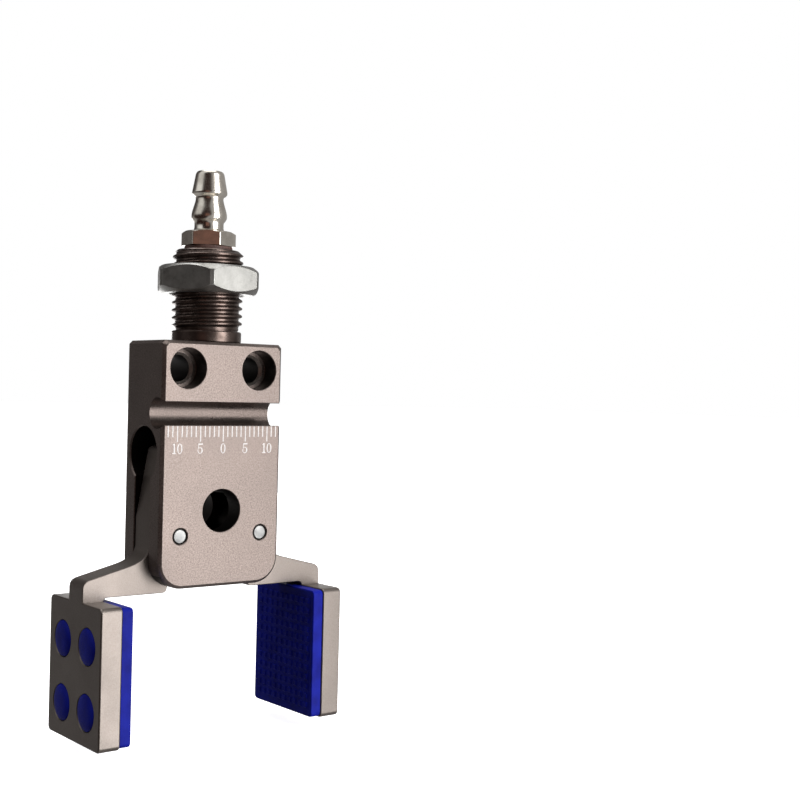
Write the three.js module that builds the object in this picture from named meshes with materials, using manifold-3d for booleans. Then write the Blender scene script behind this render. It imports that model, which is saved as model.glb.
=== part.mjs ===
// Pneumatic angular gripper: two spring-opened, piston-closed jaws on a slotted block, hung from a
// hollow threaded stem. Millimetres, +Z up, X across the jaws, front face at -Y, z = 0 under the jaws.
import * as THREE from "three";
import { mergeVertices } from "three/addons/utils/BufferGeometryUtils.js";
import Module from "manifold-3d";

const wasm = await Module();
wasm.setup();

// ---- driving dimensions ----
const ROUND = 32; // facets of a large round
const SMALL_ROUND = 24; // facets of a small round
const PAST = 2; // how far a cutter runs past the face it opens

const HOUSING = { width: 26.6, depth: 14.5, bottom: 27.85, top: 75, edge: 0.65, foot: 5.15 };
const GROOVE = { radius: 3, inset: 2.04, z: 61.15 };
const CLAMP_HOLE = { x: 7.9, z: 69.77, head: 3.87, headDepth: 4, radius: 2.6, step: 0.5 };
const WINDOW = { z: 42.48, radius: 4.15 };
const MOUTH = 0.25; // small chamfer at the mouth of a hole
const BORE = { z: 53.27, radius: 5.3 };
const SLOT = { half: 3.05, top: 45.5, tipInner: 6.4 };
const PIVOT = { x: 8.9, z: 37.87, pin: 1.5, hole: 1.53, pinHalf: 7.15, bush: 2.1, bushBore: 1.6 };
const AIRWAY = 1.3;

const STEM = {
  spigot: 3.92, spigotBottom: 66.6, socket: 4, socketFloor: 66.4, collar: 6.8, collarTop: 77.24,
  top: 93.1, crest: 6.9, root: 6.08, pitch: 1.5, rim: 6, airway: 1.5,
};
const PORT = { radius: 2.5, floor: 87.5, shank: 2.42, shankBottom: 87.9 };
const STEM_SEAL = { z: 70.5, section: 0.42, radius: 3.54, groove: 3.08 };
const NUT = {
  bottom: 84.45, top: 89.95, flats: 19, bore: 6.96, turn: 4.2, face: 9.05, corner: 10.72, slope: 38,
};
const WASHER = { inner: 2.6, outer: 4.7, top: 93.95 };
const BARB = { flats: 9.35, hexTop: 96.8, turn: 24, bore: 1.1, tip: 108.75 };

const PLATE = {
  outer: 26.5, thick: 4.28, half: 10.8, top: 26.04, corner: 1, edge: 0.3,
  hole: 3.49, holeY: 5.07, holeLow: 6.34, holeHigh: 18.39,
};
const LEVER = {
  half: 2.9, underside: 26.65, back: 13.05, tipOuter: 10.8, tipInner: 7.6, tipTop: 54.7,
  leanFrom: 41, leanTo: 53.6, inner: 4.6, heel: 9.1, heelTop: 28.2,
};
const PAD = {
  gap: 0.02, base: 2.25, stud: 0.32, studWidth: 1.1, pitch: 1.9, across: 10, down: 12,
  half: 10.55, bottom: 0.25, top: 25.8, corner: 0.9, plug: 3.44, plugProud: 0.4,
};
const PUSH_PIN = { x: 7.95, z: 52.6, radius: 1.25, half: 2.85, hole: 1.28 };
const PISTON = { inner: 1.5, outer: 6.6, radius: 5.22, grooveFrom: 2.2, grooveTo: 3.6, floor: 4.1 };
const PISTON_SEAL = { x: 2.9, radius: 4.7, section: 0.55 };
const SPRING = { z: 31.4, radius: 2.1, wire: 0.3, turns: 7, end: 7.15 };
const SEAT = { pocket: 2.6, floor: 8, radius: 2.5, face: 7.5, stub: 1.5, stubEnd: 6.4 };

// ---- finishes ----
function finish(colour, roughness, metalness) {
  return new THREE.MeshStandardMaterial({ color: colour, roughness, metalness });
}
const anodised = () => finish(0x8a7a72, 0.5, 0.6);
const darkAnodised = () => finish(0x4f4440, 0.42, 0.7);
const plated = () => finish(0x8b8986, 0.28, 0.9);
const nickel = () => finish(0xbdb7ae, 0.22, 0.95);
const fibre = () => finish(0x7a4a3a, 0.7, 0);
const pinSteel = () => finish(0xd8d8da, 0.2, 0.95);
const bronze = () => finish(0x9c7440, 0.4, 0.8);
const rubber = () => finish(0x17171a, 0.75, 0);
const blueElastomer = () => finish(0x1c1ca8, 0.55, 0);
const springSteel = () => finish(0x77787c, 0.3, 0.9);

// ---- solid tools ----
function solid(geometry) {
  const bare = geometry.clone();
  bare.deleteAttribute("normal");
  bare.deleteAttribute("uv");
  const merged = mergeVertices(bare, 1e-4);
  const index = merged.index.array;
  const kept = [];
  for (let i = 0; i < index.length; i += 3) {
    const [a, b, c] = [index[i], index[i + 1], index[i + 2]];
    if (a !== b && b !== c && c !== a) kept.push(a, b, c);
  }
  return new wasm.Manifold(
    new wasm.Mesh({
      numProp: 3,
      vertProperties: merged.attributes.position.array,
      triVerts: new Uint32Array(kept),
    }),
  );
}

function union(first, ...others) {
  return others.reduce((sum, next) => sum.add(next), first);
}

function cut(first, ...tools) {
  return tools.reduce((left, tool) => left.subtract(tool), first);
}

function mirrored(shape) {
  return shape.mirror([1, 0, 0]);
}

function node(name, shape, material) {
  const made = shape.getMesh();
  const geometry = new THREE.BufferGeometry();
  const places = new Float32Array((made.vertProperties.length / made.numProp) * 3);
  for (let i = 0; i * 3 < places.length; i += 1)
    for (let k = 0; k < 3; k += 1) places[i * 3 + k] = made.vertProperties[i * made.numProp + k];
  geometry.setAttribute("position", new THREE.BufferAttribute(places, 3));
  geometry.setIndex(new THREE.BufferAttribute(new Uint32Array(made.triVerts), 1));
  geometry.computeVertexNormals();
  const mesh = new THREE.Mesh(geometry, material);
  mesh.name = name;
  return mesh;
}

// Turns the tool's own +Y (the axis of a turned shape) onto a world axis.
function onAxis(geometry, axis) {
  if (axis === "z") geometry.rotateX(Math.PI / 2);
  if (axis === "x") geometry.rotateZ(-Math.PI / 2);
  return geometry;
}

// A turned solid from [radius, distance along the axis] pairs.
function turned(profile, axis, facets = ROUND) {
  let area = 0;
  profile.forEach(([r, s], i) => {
    const [r2, s2] = profile[(i + 1) % profile.length];
    area += r * s2 - r2 * s;
  });
  const ordered = area > 0 ? profile : [...profile].reverse();
  const points = ordered.map(([r, s]) => new THREE.Vector2(r, s));
  points.push(points[0].clone());
  return solid(onAxis(new THREE.LatheGeometry(points, facets), axis));
}

function rod(radius, from, to, axis, facets = SMALL_ROUND) {
  return turned([[0, from], [radius, from], [radius, to], [0, to]], axis, facets);
}

// A hole cutter whose mouths at from and to are opened by a small chamfer.
function chamferedHole(radius, from, to, axis, facets = SMALL_ROUND) {
  const wide = radius + MOUTH + PAST;
  return turned(
    [
      [0, from - PAST], [wide, from - PAST], [radius, from + MOUTH],
      [radius, to - MOUTH], [wide, to + PAST], [0, to + PAST],
    ],
    axis,
    facets,
  );
}

function block(x0, x1, y0, y1, z0, z1) {
  const box = new THREE.BoxGeometry(x1 - x0, y1 - y0, z1 - z0);
  return solid(box.translate((x0 + x1) / 2, (y0 + y1) / 2, (z0 + z1) / 2));
}

// A closed outline drawn in X and Z, made thick about y = 0, with chamfered rims.
function slabAcrossY(shape, thickness, edge) {
  const geometry = new THREE.ExtrudeGeometry(shape, {
    depth: thickness - 2 * edge, bevelEnabled: edge > 0, bevelThickness: edge, bevelSize: edge,
    bevelOffset: -edge, bevelSegments: 1, curveSegments: 6,
  });
  return solid(geometry.rotateX(Math.PI / 2).translate(0, thickness / 2 - edge, 0));
}

// A closed outline drawn in Y and Z, made thick from x0 to x1, with chamfered rims.
function slabAcrossX(shape, x0, x1, edge) {
  const geometry = new THREE.ExtrudeGeometry(shape, {
    depth: x1 - x0 - 2 * edge, bevelEnabled: edge > 0, bevelThickness: edge, bevelSize: edge,
    bevelOffset: -edge, bevelSegments: 1, curveSegments: 5,
  });
  const turn = new THREE.Matrix4().makeBasis(
    new THREE.Vector3(0, 1, 0), new THREE.Vector3(0, 0, 1), new THREE.Vector3(1, 0, 0),
  );
  return solid(geometry.applyMatrix4(turn).translate(x0 + edge, 0, 0));
}

function roundedRectangle(half, bottom, top, corner) {
  const shape = new THREE.Shape();
  shape.moveTo(-half + corner, bottom);
  shape.lineTo(half - corner, bottom);
  shape.absarc(half - corner, bottom + corner, corner, -Math.PI / 2, 0, false);
  shape.lineTo(half, top - corner);
  shape.absarc(half - corner, top - corner, corner, 0, Math.PI / 2, false);
  shape.lineTo(-half + corner, top);
  shape.absarc(-half + corner, top - corner, corner, Math.PI / 2, Math.PI, false);
  shape.lineTo(-half, bottom + corner);
  shape.absarc(-half + corner, bottom + corner, corner, Math.PI, 1.5 * Math.PI, false);
  return shape;
}

// A hexagon bar with both rims taken down by a 30 degree turned chamfer.
// A hexagonal bar turned down to its corner radius, with one or both end faces chamfered.
function hexagon(bar) {
  const { flats, bottom, top, turn, face, corner, slope, bothEnds } = bar;
  const point = flats / Math.sqrt(3);
  const drop = (corner - face) * Math.tan(THREE.MathUtils.degToRad(slope));
  const blank = new THREE.CylinderGeometry(point, point, top - bottom, 6);
  blank.rotateX(Math.PI / 2).rotateZ(THREE.MathUtils.degToRad(turn - 90));
  blank.translate(0, 0, (bottom + top) / 2);
  const low = bothEnds ? face : corner - 0.001;
  const outline = [
    [0, bottom], [low, bottom], [corner, bottom + (bothEnds ? drop : 0.001)],
    [corner, top - drop], [face, top], [0, top],
  ];
  return solid(blank).intersect(turned(outline, "z", 2 * ROUND));
}

function ring(radius, section, at, axis, facets = ROUND) {
  const around = 10;
  const profile = [];
  for (let i = 0; i < around; i += 1) {
    const a = (i / around) * 2 * Math.PI;
    profile.push([radius + section * Math.cos(a), at + section * Math.sin(a)]);
  }
  return turned(profile, axis, facets);
}

// ---- housing ----
function housingOutline() {
  const { width, bottom, top, edge, foot } = HOUSING;
  const half = width / 2;
  const shape = new THREE.Shape();
  shape.moveTo(-half + foot, bottom);
  shape.lineTo(half - foot, bottom);
  shape.absarc(half - foot, bottom + foot, foot, -Math.PI / 2, 0, false);
  shape.lineTo(half, top - edge);
  shape.lineTo(half - edge, top);
  shape.lineTo(-half + edge, top);
  shape.lineTo(-half, top - edge);
  shape.lineTo(-half, bottom + foot);
  shape.absarc(-half + foot, bottom + foot, foot, Math.PI, 1.5 * Math.PI, false);
  return shape;
}

function clampHole(x) {
  const { z, head, headDepth, radius, step } = CLAMP_HOLE;
  const front = -HOUSING.depth / 2;
  const wide = head + MOUTH + PAST;
  const floor = front + headDepth;
  const profile = [
    [0, front - PAST], [wide, front - PAST], [head, front + MOUTH], [head, floor],
    [radius + step, floor], [radius, floor + step], [radius, -front - MOUTH],
    [radius + MOUTH + PAST, -front + PAST], [0, -front + PAST],
  ];
  return turned(profile, "y", SMALL_ROUND).translate([x, 0, z]);
}

function housing() {
  const half = HOUSING.width / 2;
  const deep = HOUSING.depth / 2;
  let body = slabAcrossY(housingOutline(), HOUSING.depth, HOUSING.edge);
  const groove = rod(GROOVE.radius, -half - PAST, half + PAST, "x", ROUND);
  body = cut(body, groove.translate([0, -deep + GROOVE.inset, GROOVE.z]));
  body = cut(body, chamferedHole(BORE.radius, -half, half, "x", ROUND).translate([0, 0, BORE.z]));
  const reach = half + PAST;
  body = cut(body, block(-reach, reach, -SLOT.half, SLOT.half, HOUSING.bottom - PAST, SLOT.top));
  for (const side of [-1, 1]) {
    const near = side * SLOT.tipInner;
    const far = side * reach;
    const low = SLOT.top - PAST;
    const [x0, x1] = side < 0 ? [far, near] : [near, far];
    body = cut(body, block(x0, x1, -SLOT.half, SLOT.half, low, BORE.z));
    body = cut(body, clampHole(side * CLAMP_HOLE.x));
    const pinHole = chamferedHole(PIVOT.hole, -deep, deep, "y");
    body = cut(body, pinHole.translate([side * PIVOT.x, 0, PIVOT.z]));
  }
  body = cut(body, chamferedHole(WINDOW.radius, -deep, deep, "y", ROUND).translate([0, 0, WINDOW.z]));
  body = cut(body, rod(STEM.socket, STEM.socketFloor, HOUSING.top + PAST, "z"));
  return cut(body, rod(AIRWAY, BORE.z, STEM.socketFloor + PAST, "z"));
}

// ---- stem, nut and hose nipple ----
function threadProfile() {
  const { collarTop, top, crest, root, pitch, rim } = STEM;
  const points = [[root, collarTop + 0.3]];
  const run = top - (crest - rim) - collarTop - 0.6;
  const count = Math.floor(run / pitch);
  for (let i = 0; i < count; i += 1) {
    const z = collarTop + 0.5 + i * pitch;
    points.push([root, z], [crest, z + pitch * 0.45], [crest, z + pitch * 0.6]);
  }
  points.push([root, collarTop + 0.5 + count * pitch], [crest, top - (crest - rim)], [rim, top]);
  return points;
}

function mountingStem() {
  const { spigot, spigotBottom, collar, collarTop, airway, top } = STEM;
  const seat = HOUSING.top;
  const wall = STEM_SEAL.section + 0.06;
  const profile = [
    [airway, spigotBottom], [spigot, spigotBottom],
    [spigot, STEM_SEAL.z - wall], [STEM_SEAL.groove, STEM_SEAL.z - wall],
    [STEM_SEAL.groove, STEM_SEAL.z + wall], [spigot, STEM_SEAL.z + wall],
    [spigot, seat + 0.01], [collar - 0.3, seat + 0.01], [collar, seat + 0.31],
    [collar, collarTop - 0.3], [collar - 0.3, collarTop], [STEM.root, collarTop],
    ...threadProfile(),
    [PORT.radius + 0.3, top], [PORT.radius, top - 0.3],
    [PORT.radius, PORT.floor], [airway, PORT.floor],
  ];
  return turned(profile, "z", ROUND);
}

function lockNut() {
  const blank = hexagon({ ...NUT, bothEnds: true });
  return cut(blank, chamferedHole(NUT.bore, NUT.bottom, NUT.top, "z", ROUND));
}

function hoseBarb() {
  const { flats, hexTop, turn, bore, tip } = BARB;
  const hex = hexagon({
    flats, turn, bottom: WASHER.top + 0.02, top: hexTop,
    face: flats / 2, corner: flats / Math.sqrt(3), slope: 30, bothEnds: false,
  });
  const profile = [
    [0, PORT.shankBottom], [PORT.shank - 0.3, PORT.shankBottom],
    [PORT.shank, PORT.shankBottom + 0.3], [PORT.shank, hexTop - 0.5], [2.85, hexTop - 0.5],
    [2.85, 98.7], [3.5, 99.5], [3.5, 100.1], [2.5, 103.4], [2.5, 103.65], [3.46, 104.35],
    [2.8, 108.2], [2.3, tip], [0, tip],
  ];
  return cut(union(turned(profile, "z", SMALL_ROUND), hex), airPassage(bore, tip));
}

function airPassage(bore, tip) {
  return turned(
    [
      [0, PORT.shankBottom - PAST], [bore, PORT.shankBottom - PAST], [bore, tip - 0.4],
      [bore + 0.4 + PAST, tip + PAST], [0, tip + PAST],
    ],
    "z",
    SMALL_ROUND,
  );
}

function barbWasher() {
  const { inner, outer, top } = WASHER;
  const low = STEM.top + 0.01;
  return turned([[inner, low], [outer, low], [outer, top], [inner, top]], "z", SMALL_ROUND);
}

// ---- pins and bushes ----
function pivotPin() {
  const { pin, pinHalf } = PIVOT;
  const edge = 0.3;
  const profile = [
    [0, -pinHalf], [pin - edge, -pinHalf], [pin, -pinHalf + edge],
    [pin, pinHalf - edge], [pin - edge, pinHalf], [0, pinHalf],
  ];
  return turned(profile, "y", SMALL_ROUND).translate([-PIVOT.x, 0, PIVOT.z]);
}

function pivotBush() {
  const { bush, bushBore } = PIVOT;
  const half = LEVER.half;
  const profile = [[bushBore, -half], [bush, -half], [bush, half], [bushBore, half]];
  return turned(profile, "y", SMALL_ROUND).translate([-PIVOT.x, 0, PIVOT.z]);
}

function pushPin() {
  const { radius, half, x, z } = PUSH_PIN;
  return rod(radius, -half, half, "y").translate([-x, 0, z]);
}

// ---- jaw: plate and lever in one piece, drawn for the left ----
function leverOutline() {
  const { underside, back, tipOuter, tipInner, tipTop, leanFrom, leanTo, inner, heel, heelTop } = LEVER;
  const plateInner = -PLATE.outer + PLATE.thick;
  const inside = PLATE.top - 1;
  const shape = new THREE.Shape();
  shape.moveTo(plateInner - 1, inside);
  shape.lineTo(plateInner, inside);
  shape.lineTo(plateInner, PLATE.top - 0.1);
  shape.quadraticCurveTo(plateInner + 0.1, underside, plateInner + 0.9, underside);
  shape.lineTo(-heel - 0.9, underside);
  shape.quadraticCurveTo(-heel, underside, -heel + 0.1, underside + 1);
  shape.lineTo(-heel + 0.2, heelTop);
  shape.lineTo(-inner - 1.5, heelTop);
  shape.quadraticCurveTo(-inner, heelTop, -inner, heelTop + 1.5);
  shape.lineTo(-inner, PIVOT.z + 0.5);
  shape.quadraticCurveTo(-inner, 39.5, -5.2, 40.6);
  shape.quadraticCurveTo(-tipInner, 44, -tipInner, 46.5);
  shape.lineTo(-tipInner, tipTop - 0.8);
  shape.quadraticCurveTo(-tipInner, tipTop, -tipInner - 0.8, tipTop);
  shape.lineTo(-tipOuter + 1.1, tipTop);
  shape.quadraticCurveTo(-tipOuter + 0.2, tipTop, -tipOuter, leanTo);
  shape.lineTo(-back, leanFrom);
  shape.lineTo(-back, 35.4);
  shape.bezierCurveTo(-13.3, 33.6, -15.1, 32.75, -17.2, 32.15);
  shape.lineTo(-25.1, 30.15);
  shape.quadraticCurveTo(-PLATE.outer, 29.8, -PLATE.outer, 28.4);
  shape.lineTo(-PLATE.outer, inside);
  return shape;
}

function plate() {
  const { outer, thick, half, top, corner, edge, hole, holeY, holeLow, holeHigh } = PLATE;
  const outline = roundedRectangle(half, 0, top, corner);
  let made = slabAcrossX(outline, -outer, -outer + thick, edge);
  for (const y of [-holeY, holeY])
    for (const z of [holeLow, holeHigh])
      made = cut(made, chamferedHole(hole, -outer, -outer + thick, "x").translate([0, y, z]));
  return made;
}

function jaw() {
  const lever = slabAcrossY(leverOutline(), 2 * LEVER.half, 0.2);
  const bushHole = rod(PIVOT.bush + 0.02, -HOUSING.depth, HOUSING.depth, "y");
  const pinHole = rod(PUSH_PIN.hole, -HOUSING.depth, HOUSING.depth, "y");
  const pocket = rod(SEAT.pocket, -SEAT.floor, 0, "x");
  return cut(
    union(plate(), lever),
    bushHole.translate([-PIVOT.x, 0, PIVOT.z]),
    pinHole.translate([-PUSH_PIN.x, 0, PUSH_PIN.z]),
    pocket.translate([0, 0, SPRING.z]),
  );
}

// ---- pad: slab with a field of square studs and four plugs through the plate ----
// One toothed outline: height over the back of the pad against distance across it.
function toothed(from, to, count) {
  const { base, stud, studWidth, pitch } = PAD;
  const margin = (to - from - (count - 1) * pitch - studWidth) / 2;
  const points = [[0, from]];
  points.push([base, from]);
  for (let i = 0; i < count; i += 1) {
    const start = from + margin + i * pitch;
    points.push([base, start], [base + stud, start]);
    points.push([base + stud, start + studWidth], [base, start + studWidth]);
  }
  points.push([base, to], [0, to]);
  return points;
}

function shapeOf(points) {
  return new THREE.Shape(points.map(([a, b]) => new THREE.Vector2(a, b)));
}

function pad() {
  const { gap, base, stud, half, bottom, top, corner, across, down } = PAD;
  const back = -PLATE.outer + PLATE.thick + gap;
  const outline = roundedRectangle(half, bottom, top, corner);
  const slab = slabAcrossX(outline, back, back + base + stud, 0);
  const rows = slabAcrossY(shapeOf(toothed(bottom, top, down)), 2 * half + 2, 0);
  const columnShape = shapeOf(toothed(-half, half, across));
  const columns = new THREE.ExtrudeGeometry(columnShape, { depth: top + 2, bevelEnabled: false });
  const field = rows.translate([back, 0, 0]).intersect(solid(columns).translate([back, 0, -1]));
  return union(slab.intersect(field), ...plugs(back));
}

function plugs(back) {
  const { plug, plugProud } = PAD;
  const face = -PLATE.outer;
  const profile = [
    [0, back + 1], [plug, back + 1], [plug, face + 0.15], [plug - 0.3, face - 0.05],
    [plug * 0.6, face - plugProud * 0.8], [0, face - plugProud],
  ];
  const made = [];
  for (const y of [-PLATE.holeY, PLATE.holeY])
    for (const z of [PLATE.holeLow, PLATE.holeHigh])
      made.push(turned(profile, "x", SMALL_ROUND).translate([0, y, z]));
  return made;
}

// ---- piston and opening spring ----
function piston() {
  const { inner, outer, radius, grooveFrom, grooveTo, floor } = PISTON;
  const edge = 0.3;
  const profile = [
    [0, -inner], [radius - edge, -inner], [radius, -inner - edge],
    [radius, -grooveFrom], [floor, -grooveFrom], [floor, -grooveTo], [radius, -grooveTo],
    [radius, -outer + edge], [radius - edge, -outer], [0, -outer],
  ];
  return turned(profile, "x", ROUND).translate([0, 0, BORE.z]);
}

function pistonSeal() {
  const { x, radius, section } = PISTON_SEAL;
  return ring(radius, section, -x, "x").translate([0, 0, BORE.z]);
}

function springSeat() {
  const { floor, radius, face, stub, stubEnd } = SEAT;
  const profile = [
    [0, -floor + 0.02], [radius, -floor + 0.02], [radius, -face], [stub, -face],
    [stub, -stubEnd - 0.3], [stub - 0.3, -stubEnd], [0, -stubEnd],
  ];
  return turned(profile, "x").translate([0, 0, SPRING.z]);
}

class Helix extends THREE.Curve {
  getPoint(t) {
    const angle = t * SPRING.turns * 2 * Math.PI;
    const x = (2 * t - 1) * SPRING.end;
    const y = SPRING.radius * Math.cos(angle);
    return new THREE.Vector3(x, y, SPRING.z + SPRING.radius * Math.sin(angle));
  }
}

function returnSpring() {
  const wire = new THREE.Shape();
  wire.absarc(0, 0, SPRING.wire, 0, 2 * Math.PI, false);
  const options = { steps: SPRING.turns * 14, extrudePath: new Helix(), curveSegments: 4 };
  return solid(new THREE.ExtrudeGeometry(wire, { ...options, bevelEnabled: false }));
}

// ---- assembly ----
const gripper = new THREE.Group();
gripper.name = "pneumatic_gripper";

function addBothSides(name, shape, material) {
  gripper.add(node(`${name}_left`, shape, material()));
  gripper.add(node(`${name}_right`, mirrored(shape), material()));
}

gripper.add(node("housing", housing(), anodised()));
gripper.add(node("mounting_stem", mountingStem(), darkAnodised()));
const stemSeal = ring(STEM_SEAL.radius, STEM_SEAL.section, STEM_SEAL.z, "z", SMALL_ROUND);
gripper.add(node("stem_seal_ring", stemSeal, rubber()));
gripper.add(node("lock_nut", lockNut(), plated()));
gripper.add(node("hose_barb", hoseBarb(), nickel()));
gripper.add(node("barb_washer", barbWasher(), fibre()));
addBothSides("pivot_pin", pivotPin(), pinSteel);
addBothSides("pivot_bush", pivotBush(), bronze);
addBothSides("push_pin", pushPin(), pinSteel);
addBothSides("jaw", jaw(), anodised);
addBothSides("pad", pad(), blueElastomer);
addBothSides("piston", piston(), nickel);
addBothSides("piston_seal", pistonSeal(), rubber);
addBothSides("spring_seat", springSeat(), bronze);
gripper.add(node("return_spring", returnSpring(), springSteel()));

export default gripper;
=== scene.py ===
"""Looks of the pneumatic gripper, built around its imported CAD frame.

Shapes are worked out in millimetres and stored in metres. X runs across the jaws, the face with
the scale looks towards -Y, +Z is up along the stem and z = 0 is under the open jaw plates.
"""

import math

import bmesh
import bpy
from mathutils import Matrix, Vector


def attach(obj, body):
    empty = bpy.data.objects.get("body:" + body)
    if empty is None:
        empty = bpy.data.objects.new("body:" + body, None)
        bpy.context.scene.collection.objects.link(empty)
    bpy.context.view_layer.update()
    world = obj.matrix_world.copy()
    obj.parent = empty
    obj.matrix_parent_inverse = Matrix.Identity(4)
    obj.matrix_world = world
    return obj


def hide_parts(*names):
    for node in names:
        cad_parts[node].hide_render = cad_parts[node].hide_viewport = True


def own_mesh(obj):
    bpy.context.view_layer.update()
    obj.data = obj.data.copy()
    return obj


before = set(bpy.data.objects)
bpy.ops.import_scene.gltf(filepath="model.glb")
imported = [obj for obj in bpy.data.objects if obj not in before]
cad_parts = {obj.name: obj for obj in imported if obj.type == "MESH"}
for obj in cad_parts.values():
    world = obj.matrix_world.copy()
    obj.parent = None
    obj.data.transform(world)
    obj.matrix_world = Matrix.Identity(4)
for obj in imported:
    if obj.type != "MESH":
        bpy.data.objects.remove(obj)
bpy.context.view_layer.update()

MM = 0.001
FINE = 96  # facets of a large round
SMALL = 64  # facets of a small round
SHARP = math.radians(28)  # edges bent more than this stay crisp
WELD = 0.0008  # vertices nearer than this become one
PAST = 2.0  # how far a cutter runs past the face it opens

# ---- sizes in millimetres, the same as the CAD's but for the smallest edges ----
# the block: its box, edge chamfers and round feet
WIDTH, DEPTH, BOTTOM, TOP = 26.6, 14.5, 27.85, 75.0
HALF_W, HALF_D = WIDTH / 2, DEPTH / 2
EDGE, FOOT = 0.65, 5.15
# its openings: round groove, clamp holes, window, cross bore, lever slots, stem socket, air hole
GROOVE_R, GROOVE_INSET, GROOVE_Z, GROOVE_FLARE = 3.0, 2.04, 61.15, 0.14
GROOVE_OPEN = math.sqrt(GROOVE_R**2 - GROOVE_INSET**2)  # half its height in the front face
CLAMP_X, CLAMP_Z, HEAD_R, HEAD_DEEP = 7.9, 69.77, 3.87, 4.0
SCREW_R, SCREW_STEP = 2.6, 0.5
WINDOW_Z, WINDOW_R = 42.48, 4.15
BORE_Z, BORE_R = 53.27, 5.3
SLOT_HALF, SLOT_TOP, TIP_SLOT = 3.05, 45.5, 6.4
SOCKET_R, SOCKET_FLOOR = 4.0, 66.4
AIR_R, AIR_TOP = 1.3, 68
# the jaws: levers on their pins, and plates with holes for the pads' plugs
LEVER_HALF, LEVER_LOW, LEVER_IN, LEVER_BACK = 2.9, 26.65, 4.6, 13.05
HEEL_X, HEEL_TOP, TIP_IN, TIP_OUT, TIP_TOP = 9.1, 28.2, 7.6, 10.8, 54.7
PIVOT_X, PIVOT_Z = 8.9, 37.87
PIN_R, PIN_HALF = 1.5, 7.15
BUSH_R, BUSH_WALL = 2.1, 0.5
PUSH_X, PUSH_Z, PUSH_R, PUSH_HALF = 7.95, 52.6, 1.25, 2.85
PLATE_OUT, PLATE_THICK, PLATE_HALF, PLATE_TOP = 26.5, 4.28, 10.8, 26.04
HOLES = [(y, z) for y in (-5.07, 5.07) for z in (6.34, 18.39)]
HOLE_R = 3.49
# stem, nut, washer and nipple
SPIGOT_R, SPIGOT_LOW, GLAND_R, GLAND_LOW, GLAND_HIGH = 3.92, 66.6, 3.08, 70.02, 70.98
COLLAR_R, COLLAR_TOP, STEM_TOP = 6.8, 77.24, 93.1
PITCH, CREST, ROOT, RIM = 1.5, 6.9, 6.08, 6.0
PORT_R, PORT_FLOOR, AIRWAY = 2.5, 87.5, 1.5
NUT_LOW, NUT_HIGH, NUT_FLATS, NUT_TURN = 84.45, 89.95, 19, 4.2
NUT_FACE, NUT_CORNER, NUT_SLOPE, NUT_BORE_R = 9.05, 10.72, 38, 6.96
WASHER_TOP, WASHER_R, WASHER_BORE = 93.95, 4.7, 2.6
HEX_FLATS, HEX_TOP, HEX_TURN, SHANK_LOW, SHANK_R, BARB_TIP = 9.35, 96.8, 24, 87.9, 2.42, 108.75
# pistons and their seals
PISTON_R, PISTON_IN, PISTON_OUT, SEAL_R, SEAL_WIRE, SEAL_X = 5.22, 1.5, 6.6, 4.7, 0.55, -2.9
# the opening spring: slimmer than the CAD's and its pocket wider, to stay apart when closing
SPRING_Z, SPRING_TURNS, SPRING_R, SPRING_WIRE, SPRING_REACH = 31.4, 7, 1.7, 0.28, 7.15
POCKET_R, CUP_R = 2.95, 2.5


def show(made):
    """Puts an object in the scene."""
    bpy.context.collection.objects.link(made)


# ---- camera, light and floor ----
# fitted to the object's corners in the photograph: millimetres and degrees
CAMERA_AZIMUTH, CAMERA_DISTANCE, CAMERA_Z = 30.4172, 263.873, 66.453
LOOK_YAW, LOOK_PITCH, LOOK_ROLL, LENS = 38.81, -0.3935, 1.4125, 59.487

ROOM, ROOM_BRIGHT = (0.38, 0.37, 0.365), (0.85, 0.85, 0.85)
ROOM_DIM, ROOM_DARK = (0.08, 0.072, 0.07), (0.026, 0.013, 0.010)
ROOM_PATCHES = {
    # part of the room: azimuth and elevation, then the degrees out where it starts and is full
    "camera_side": (50, 14, 40, 26),
    "left": (92, 0, 66, 48),
    "below": (0, -90, 100, 94),
    "high_left": (106, 40, 44, 24),
    "behind": (172, 32, 42, 22),
}
# from here on in metres: the middle of the object, the lights and the floor
MIDDLE = (0, 0, 0.055)
LIGHTS = (
    # name, place, size, watts, colour
    ("key", (0.165, -0.41, 0.03), (0.24, 0.44), 2.25, (1, 1, 1)),
    ("key_above", (0.165, -0.36, 0.335), (0.22, 0.12), 0.5, (1, 1, 1)),
    ("rear", (0.24, 0.55, -0.03), (0.34, 0.30), 0.9, (1, 1, 1)),
    ("rear_above", (0.10, 0.26, 0.62), (0.34, 0.30), 1.1, (1, 1, 1)),
    ("warm_wall", (-0.42, -0.47, 0.11), (0.30, 0.30), 0.05, (1.0, 0.5, 0.38)),
)
SUN_STRENGTH, SUN_SPREAD = 1.2, 50
FLOOR_Z = -0.003  # the closing plates swing 2.5 mm below their open height
FLOOR_REACH, FLOOR_GLOW = 4.0, 0.8


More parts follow.
